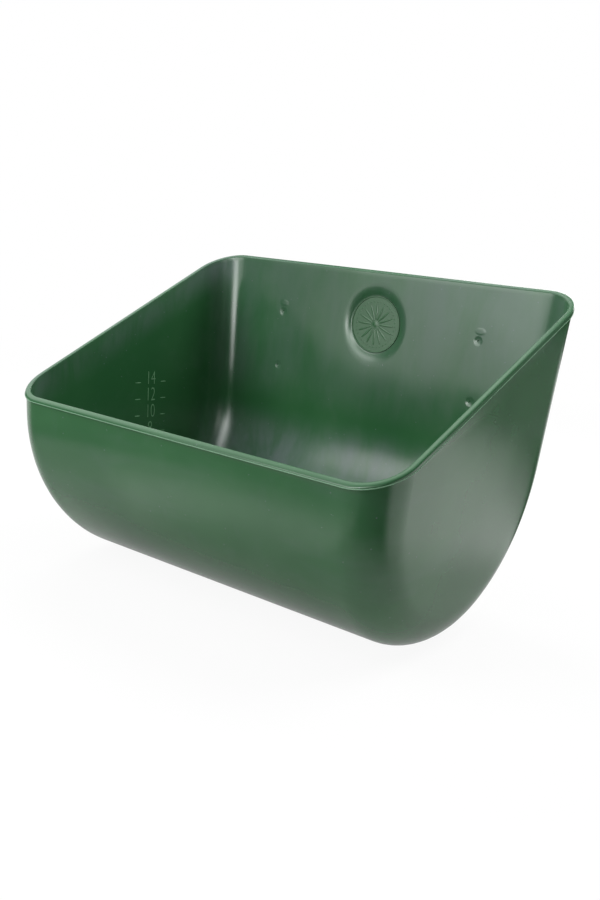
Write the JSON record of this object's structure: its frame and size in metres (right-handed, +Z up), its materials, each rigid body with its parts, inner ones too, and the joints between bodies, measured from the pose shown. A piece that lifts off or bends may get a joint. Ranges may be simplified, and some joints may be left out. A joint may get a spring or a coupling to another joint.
{
  "type": "feed manger",
  "caption": "Wall-hung feed manger: a deep round-bottomed plastic tub with a flat back, a beaded rim sloping down to the front and a round medallion in the back wall.",
  "frame": {"origin": "middle of the flat round boss behind the medallion, in the plane that lies on the wall", "axes": "+X along the wall to the right as seen by someone facing the manger, +Y into the wall, +Z up"},
  "size_m": [0.434, 0.2932, 0.3051],
  "materials": {
    "tub_plastic": "semi-gloss moulded polyethylene, dark green, with light scuffs",
    "medallion_plastic": "semi-gloss moulded polyethylene, the same dark green as the tub"
  },
  "bodies": {
    "root": {"manger_tub": "tub_plastic", "medallion_disc": "medallion_plastic"}
  },
  "joints": []
}
